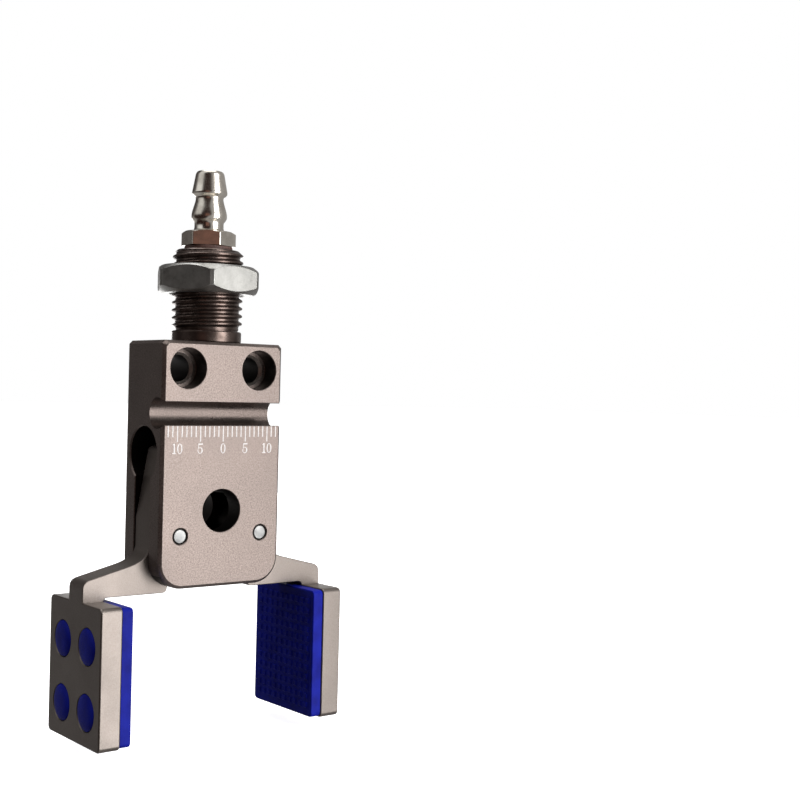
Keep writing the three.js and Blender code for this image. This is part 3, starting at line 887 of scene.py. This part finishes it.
def plate_shape():
    """The plate on the end of the lever, with four holes for the pad's plugs."""
    outline = rounded_rectangle(-PLATE_HALF, PLATE_HALF, 0, PLATE_TOP, 1.0)
    middle = -PLATE_OUT + PLATE_THICK / 2
    sections = [(inset_outline(outline, inset), middle + x)
                for inset, x in eased(PLATE_THICK / 2, 0.3)]
    plate = prism("jaw_plate", sections, "x")
    hole = mouth_profile(HOLE_R, -PLATE_OUT, -PLATE_OUT + PLATE_THICK, MOUTH_FLARE)
    for y, z in HOLES:
        cut(plate, lathe("hole", hole, "x", (0, y, z)))
    return plate


def jaw_shape():
    """Lever and plate in one, bored for the bush, the push pin and the spring."""
    outline = lever_outline()
    sections = [(inset_outline(outline, inset), y) for inset, y in eased(LEVER_HALF, 0.22, 3)]
    lever = prism("lever_and_plate", sections, "y")
    join(lever, plate_shape())
    cut(lever, lathe("bush_hole", rod(BUSH_R + 0.02, -8, 8), "y", (-PIVOT_X, 0, PIVOT_Z), SMALL))
    cut(lever, lathe("push_hole", rod(PUSH_R + 0.03, -8, 8), "y", (-PUSH_X, 0, PUSH_Z), SMALL))
    cut(lever, lathe("pocket", rod(POCKET_R, -8, 0), "x", (0, 0, SPRING_Z), SMALL))
    return lever


def paint_root_shade(jaw, material):
    """Painted shade on the side of a lever that faces the middle of the block, dark like the slot round
    it.
    """
    jaw.data.materials.append(material)
    for face in jaw.data.polygons:
        place = face.center / MM
        inward = face.normal.x * place.x < -0.3 * abs(place.x)
        if inward and place.z > BOTTOM:
            face.material_index = 1


def make_jaws(material, root_shade):
    """Both jaws, with painted shade on their inward sides."""
    pair = both_sides(jaw_shape(), material, "jaw", "jaw")
    for jaw in pair:
        paint_root_shade(jaw, root_shade)


# ---- pads ----
STUD_PITCH, STUD_WIDTH, STUD_TAPER, STUD_TALL, STUD_MARGIN = 1.9, 1.2, 0.16, 0.2, 0.3
STUDS_ACROSS, STUDS_DOWN = 10, 12
PAD_THICK, PAD_HALF, PAD_LOW, PAD_HIGH = 2.25, 10.55, 0.25, 25.8
PLUG_R = 3.44


def stud_stations(count, middle):
    """Where one row's grid lines lie, each with whether it is on top of a stud."""
    start = middle - ((count - 1) * STUD_PITCH + STUD_WIDTH) / 2
    line = [(start - STUD_MARGIN, False)]
    for i in range(count):
        near = start + i * STUD_PITCH
        far = near + STUD_WIDTH
        line += [(near, False), (near + STUD_TAPER, True), (far - STUD_TAPER, True), (far, False)]
    return line + [(line[-1][0] + STUD_MARGIN, False)]


def stud_field(back):
    """A closed block whose face carries rows of small square studs with tapered flanks."""
    face = back + PAD_THICK + 0.05
    ys = stud_stations(STUDS_ACROSS, 0)
    zs = stud_stations(STUDS_DOWN, PAD_HIGH / 2 + 0.12)
    bm = bmesh.new()
    grid = [[bm.verts.new((face + STUD_TALL * (y_up and z_up), y, z)) for z, z_up in zs]
            for y, y_up in ys]
    for i in range(len(ys) - 1):
        for j in range(len(zs) - 1):
            bm.faces.new((grid[i][j], grid[i + 1][j], grid[i + 1][j + 1], grid[i][j + 1]))
    edge = [row[0] for row in grid] + grid[-1][1:]
    edge += [row[-1] for row in reversed(grid[:-1])] + grid[0][-2:0:-1]
    behind = [bm.verts.new((face - 0.6, v.co.y, v.co.z)) for v in edge]
    for i in range(len(edge)):
        j = (i + 1) % len(edge)
        bm.faces.new((edge[i], edge[j], behind[j], behind[i]))
    bm.faces.new(behind)
    return object_from("studs", bm)


def pad_shape():
    """A moulded slab with studs on its face, and four domed plugs through the plate."""
    back, thick = -PLATE_OUT + PLATE_THICK + 0.02, PAD_THICK
    outline = rounded_rectangle(-PAD_HALF, PAD_HALF, PAD_LOW, PAD_HIGH, 0.9)
    # (inset, height over the back) pairs
    rim = [
        (0.12, 0), (0.04, 0.03), (0, 0.12), (0, thick - 0.35), (0.05, thick - 0.15),
        (0.18, thick - 0.04), (0.35, thick),
    ]
    slab = prism("studded_pad", [(inset_outline(outline, i), back + x) for i, x in rim], "x")
    join(slab, stud_field(back))
    face = -PLATE_OUT
    plug = [
        (0, back + 1), (PLUG_R, back + 1), (PLUG_R, face + 0.22), (PLUG_R - 0.06, face + 0.08),
        (3.2, face - 0.02), (2.75, face - 0.2), (2.1, face - 0.31), (1.3, face - 0.37),
        (0.5, face - 0.395), (0, face - 0.4),
    ]
    for y, z in HOLES:
        join(slab, lathe("plug", plug, "x", (0, y, z), SMALL))
    return slab


def make_pads(material):
    """Both pads."""
    both_sides(pad_shape(), material, "pad", "jaw")


# ---- stem, nut, washer and nipple ----
CREST_HALF, FLANK = 0.08, 0.34  # half the flat of the crest and one flank, in pitches
ROUNDED = 0.8  # how far crests and roots are rounded, 0 to 1
FULL_ROOT = ROOT + 0.16  # the photographed thread is shallower than a sharp one
THREAD_PHASE = 0.35  # where in its turn the thread starts
ROWS_PER_PITCH = 24


def thread_radius(turn):
    """Radius against how far through one pitch a point is, from 0 to 1."""
    away = abs((turn % 1.0) - 0.5)
    up = min(1, max(0, (CREST_HALF + FLANK - away) / FLANK))
    return FULL_ROOT + (CREST - FULL_ROOT) * (up * up * (3 - 2 * up) * ROUNDED + up * (1 - ROUNDED))


def thread_rings(bm):
    """The threaded stretch: it fades in above the collar and its top end is chamfered."""
    start, stop = COLLAR_TOP + 0.02, STEM_TOP
    count = round((stop - start) / PITCH * ROWS_PER_PITCH)
    rings = []
    for k in range(count + 1):
        z = start + (stop - start) * k / count
        fade = min(1, max(0, (z - start - 0.2) / 0.8))
        cap = RIM + max(0, stop - z) * 1.15

        def radius(t, z=z, fade=fade, cap=cap):
            deep = thread_radius((z - start) / PITCH - t + THREAD_PHASE) - ROOT
            return min(ROOT + deep * fade, cap)

        rings.append(ring_of(bm, radius, z))
    return rings


def make_stem(material):
    """The hollow stem: spigot with its seal gland, collar, thread and the port in its top."""
    spigot = [
        (AIRWAY, SPIGOT_LOW), (SPIGOT_R - 0.3, SPIGOT_LOW), (SPIGOT_R, SPIGOT_LOW + 0.3),
        (SPIGOT_R, GLAND_LOW), (GLAND_R, GLAND_LOW), (GLAND_R, GLAND_HIGH), (SPIGOT_R, GLAND_HIGH),
        (SPIGOT_R, TOP + 0.01),
    ]
    collar = [
        (COLLAR_R - 0.35, TOP + 0.01), (COLLAR_R - 0.18, TOP + 0.05), (COLLAR_R - 0.04, TOP + 0.18),
        (COLLAR_R, TOP + 0.34), (COLLAR_R, COLLAR_TOP - 0.33), (COLLAR_R - 0.05, COLLAR_TOP - 0.17),
        (COLLAR_R - 0.18, COLLAR_TOP - 0.04), (COLLAR_R - 0.35, COLLAR_TOP),
    ]
    port = [
        (PORT_R + 0.3, STEM_TOP), (PORT_R, STEM_TOP - 0.3), (PORT_R, PORT_FLOOR),
        (AIRWAY, PORT_FLOOR),
    ]
    bm = bmesh.new()
    rings = plain_rings(bm, spigot + collar) + thread_rings(bm) + plain_rings(bm, port)
    loops_to_solid(bm, rings, False)
    settle(object_from("stem_thread", bm), material, "body", "mounting_stem")


def hexagon(name, flats, lo, hi, turn, rim):
    """A hexagon bar with softened corners; rim is the turned body that chamfers its ends."""
    corner = flats / math.sqrt(3)
    soft = 0.12
    points = []
    for k in range(6):
        a = math.radians(turn + 60 * k)
        tip = Vector((corner * math.cos(a), corner * math.sin(a)))
        along = Vector((-math.sin(a), math.cos(a)))
        inward = -tip.normalized()
        for t in (-1, -0.4, 0.4, 1):
            drop = soft * (0.5 + 0.5 * abs(t) ** 1.5)
            points.append(tuple(tip + along * t * soft * 1.6 + inward * drop))
    bar = prism(name, [(points, lo), (points, hi)], "z")
    return combine(bar, rim, "INTERSECT")


def make_nut(material):
    """The lock nut, its corners chamfered on both faces."""
    face, corner = NUT_FACE, NUT_CORNER
    drop = (corner - face) * math.tan(math.radians(NUT_SLOPE))
    rim = [
        (0, NUT_LOW), (face - 0.12, NUT_LOW), (face + 0.05, NUT_LOW + 0.07),
        (corner - 0.1, NUT_LOW + drop - 0.12), (corner, NUT_LOW + drop + 0.1),
        (corner, NUT_HIGH - drop - 0.1), (corner - 0.1, NUT_HIGH - drop + 0.12),
        (face + 0.05, NUT_HIGH - 0.07), (face - 0.12, NUT_HIGH), (0, NUT_HIGH),
    ]
    turned = lathe("rim", rim, "z", count=2 * FINE)
    nut = hexagon("lock_nut_body", NUT_FLATS, NUT_LOW, NUT_HIGH, NUT_TURN, turned)
    bore = mouth_profile(NUT_BORE_R, NUT_LOW, NUT_HIGH, 0.6)
    cut(nut, lathe("bore", bore, "z"))
    settle(nut, material, "nut", "lock_nut")


def make_barb(material):
    """The hose nipple: threaded shank, small hexagon, a round barb and a cone-shaped one."""
    low, tip = WASHER_TOP + 0.02, BARB_TIP
    corner, face = HEX_FLATS / math.sqrt(3) + 0.2, HEX_FLATS / 2 - 0.05
    drop = (corner - face) * math.tan(math.radians(30))
    rim = [(0, low - 1), (corner, low - 1), (corner, HEX_TOP - drop), (face, HEX_TOP), (0, HEX_TOP)]
    nipple = hexagon("hose_nipple", HEX_FLATS, low, HEX_TOP, HEX_TURN, lathe("rim", rim, "z"))
    shank = [
        (0, SHANK_LOW), (SHANK_R - 0.27, SHANK_LOW), (SHANK_R, SHANK_LOW + 0.3),
        (SHANK_R, HEX_TOP - 0.5), (3.4, HEX_TOP - 0.5),
    ]
    neck = [(3.4, 96.85), (3.15, 96.98), (2.95, 97.2), (2.86, 97.6), (2.85, 98.4)]
    round_barb = [
        (2.93, 98.7), (3.22, 99.08), (3.40, 99.4), (3.47, 99.75), (3.46, 100.2), (3.36, 100.75),
        (3.12, 101.6), (2.88, 102.4), (2.74, 103.0), (2.70, 103.35),
    ]
    cone_barb = [
        (2.76, 103.6), (3.26, 104.02), (3.42, 104.22), (3.46, 104.45), (3.42, 104.75),
        (2.84, 107.95), (2.76, 108.25), (2.6, 108.52), (2.38, 108.7), (2.2, tip), (0, tip),
    ]
    join(nipple, lathe("barbs", shank + neck + round_barb + cone_barb, "z"))
    passage = [(0, 86), (1.1, 86), (1.1, tip - 0.45), (1.6, tip + 0.05), (1.6, tip + 2), (0, tip + 2)]
    cut(nipple, lathe("passage", passage, "z", count=SMALL))
    settle(nipple, material, "body", "hose_barb")


def make_washer(material):
    """The sealing washer under the nipple, its rim rounded."""
    low, high = STEM_TOP + 0.02, WASHER_TOP
    profile = [
        (WASHER_BORE, low), (WASHER_R - 0.15, low), (WASHER_R - 0.02, low + 0.09),
        (WASHER_R, low + 0.25), (WASHER_R, high - 0.24), (WASHER_R - 0.04, high - 0.08),
        (WASHER_R - 0.2, high), (WASHER_BORE, high),
    ]
    settle(lathe("sealing_washer", profile, "z"), material, "body", "barb_washer")


# ---- pins, pistons, seals and spring ----
def make_pins(steel, bronze):
    """Hinge dowels, the levers' bushes on them, and the hard pins that the pistons press on."""
    at, tip = (-PIVOT_X, 0, PIVOT_Z), (-PUSH_X, 0, PUSH_Z)
    dowel = doubled([
        (0, -PIN_HALF), (PIN_R - 0.4, -PIN_HALF), (PIN_R - 0.28, -PIN_HALF + 0.02),
        (PIN_R - 0.04, -PIN_HALF + 0.26), (PIN_R, -PIN_HALF + 0.36),
    ])
    both_sides(lathe("dowel", dowel, "y", at), steel, "pivot_pin")
    bush = doubled([
        (BUSH_R - BUSH_WALL, -LEVER_HALF), (BUSH_R - 0.1, -LEVER_HALF), (BUSH_R, -LEVER_HALF + 0.1),
    ])
    both_sides(lathe("bush", bush, "y", at), bronze, "pivot_bush", "jaw")
    push = doubled([(0, -PUSH_HALF), (PUSH_R - 0.15, -PUSH_HALF), (PUSH_R, -PUSH_HALF + 0.15)])
    tip_pin = lathe("tip_pin", push, "y", tip, SMALL)
    both_sides(tip_pin, steel, "push_pin", "jaw")


def make_pistons(metal, rubber):
    """The two pistons in the cross bore, their seals, and the seal on the stem's spigot."""
    full, near, far = PISTON_R, -PISTON_IN, -PISTON_OUT
    piston = [
        (0, near), (full - 0.3, near), (full - 0.08, near - 0.08), (full, near - 0.3),
        (full, -2.2), (4.1, -2.2), (4.1, -3.6), (full, -3.6),
        (full, far + 0.3), (full - 0.08, far + 0.08), (full - 0.3, far),
        (1.6, far), (1.2, far + 0.3), (0, far + 0.3),
    ]
    at = (0, 0, BORE_Z)
    both_sides(lathe("plunger", piston, "x", at), metal, "piston", "piston")
    seal = lathe("plunger_ring", ring_profile(SEAL_R, SEAL_WIRE, SEAL_X), "x", at)
    both_sides(seal, rubber, "piston_seal", "piston")
    stem_ring = lathe("stem_ring", ring_profile(3.54, 0.42, (GLAND_LOW + GLAND_HIGH) / 2), "z")
    settle(stem_ring, rubber, "body", "stem_seal_ring")


def make_spring_cups(bronze):
    """A flanged cup in each lever, its stub inside the spring's end coil."""
    cup = [
        (0, -7.98), (CUP_R - 0.15, -7.98), (CUP_R, -7.85), (CUP_R, -7.6), (CUP_R - 0.1, -7.5),
        (1.25, -7.5), (1.2, -6.8), (1.0, -6.6), (0, -6.6),
    ]
    left_cup = lathe("spring_cup", cup, "x", (0, 0, SPRING_Z))
    both_sides(left_cup, bronze, "spring_seat", "jaw")


def make_spring(wire_metal):
    """The coil between the levers; its end coils lie closer than its middle ones."""
    steps, sides, close = SPRING_TURNS * 40, 12, 0.35
    bm = bmesh.new()
    rings = []
    for i in range(steps + 1):
        t = i / steps
        x = SPRING_REACH * (close * math.sin((t - 0.5) * math.pi) + (1 - close) * (2 * t - 1))
        a = 2 * math.pi * SPRING_TURNS * t
        outward = Vector((0, math.cos(a), math.sin(a)))
        centre = Vector((x, 0, SPRING_Z)) + outward * SPRING_R
        row = []
        for k in range(sides):
            b = 2 * math.pi * k / sides
            offset = (outward * math.cos(b) + Vector((1, 0, 0)) * math.sin(b)) * SPRING_WIRE
            row.append(bm.verts.new(centre + offset))
        rings.append(row)
    loops_to_solid(bm, rings, True)
    spring = object_from("opening_spring", bm)
    settle(spring, wire_metal, "body", "return_spring")
    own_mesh(spring)


# ---- the whole ----
add_camera()
studio()
floor()

# name, darkest and lightest colour, roughness, grains to the metre
block = blasted_anodised("block_anodised", (0.086, 0.066, 0.058), (0.212, 0.176, 0.160), 0.40, 3600)
# painted shade: darker copies of the block's anodising for the groove, the bores and the deepest
# openings; the groove's lower roughness is its smoother surface
groove = blasted_anodised("groove_anodised_painted_shade", (0.05, 0.038, 0.033), (0.13, 0.105, 0.095), 0.30, 4000)
bore = blasted_anodised("bore_painted_shade", (0.028, 0.021, 0.018), (0.07, 0.057, 0.051), 0.34, 3000)
deep = blasted_anodised("deep_painted_shade", (0.008, 0.006, 0.005), (0.02, 0.016, 0.014), 0.4, 3000)
# painted highlight: a lighter tone on the screw seats
seat = blasted_anodised("seat_painted_highlight", (0.22, 0.19, 0.17), (0.45, 0.40, 0.37), 0.35, 3000)
jaw = blasted_anodised("jaw_anodised", (0.133, 0.113, 0.101), (0.176, 0.154, 0.139), 0.38, 4200)
# name, darkest and lightest colour, roughness
stem = turned_metal("stem_anodised", (0.054, 0.038, 0.032), (0.125, 0.094, 0.082), 0.27, metallic=0.9)
nickel = turned_metal("bright_nickel", (0.54, 0.50, 0.44), (0.74, 0.70, 0.63), 0.2)
steel = turned_metal("ground_steel", (0.14, 0.14, 0.14), (0.24, 0.24, 0.235), 0.42, axis=1)
bronze = turned_metal("bearing_bronze", (0.42, 0.28, 0.13), (0.6, 0.42, 0.2), 0.35)
wire = turned_metal("spring_wire", (0.3, 0.3, 0.31), (0.5, 0.5, 0.5), 0.3, axis=0)
blue = elastomer("blue_moulding", (0.003, 0.006, 0.18), (0.006, 0.013, 0.30), 0.5)
rubber = elastomer("black_rubber", (0.008, 0.008, 0.009), (0.018, 0.018, 0.02), 0.55)

make_housing(block, groove, bore, deep, seat)
make_scale(laser_mark("laser_white"))
make_jaws(jaw, deep)
make_pads(blue)
make_stem(stem)
make_nut(scratched_plating("nut_plating"))
make_barb(nickel)
make_washer(fibre("red_fibre"))
make_pins(steel, bronze)
make_pistons(nickel, rubber)
make_spring_cups(bronze)
make_spring(wire)
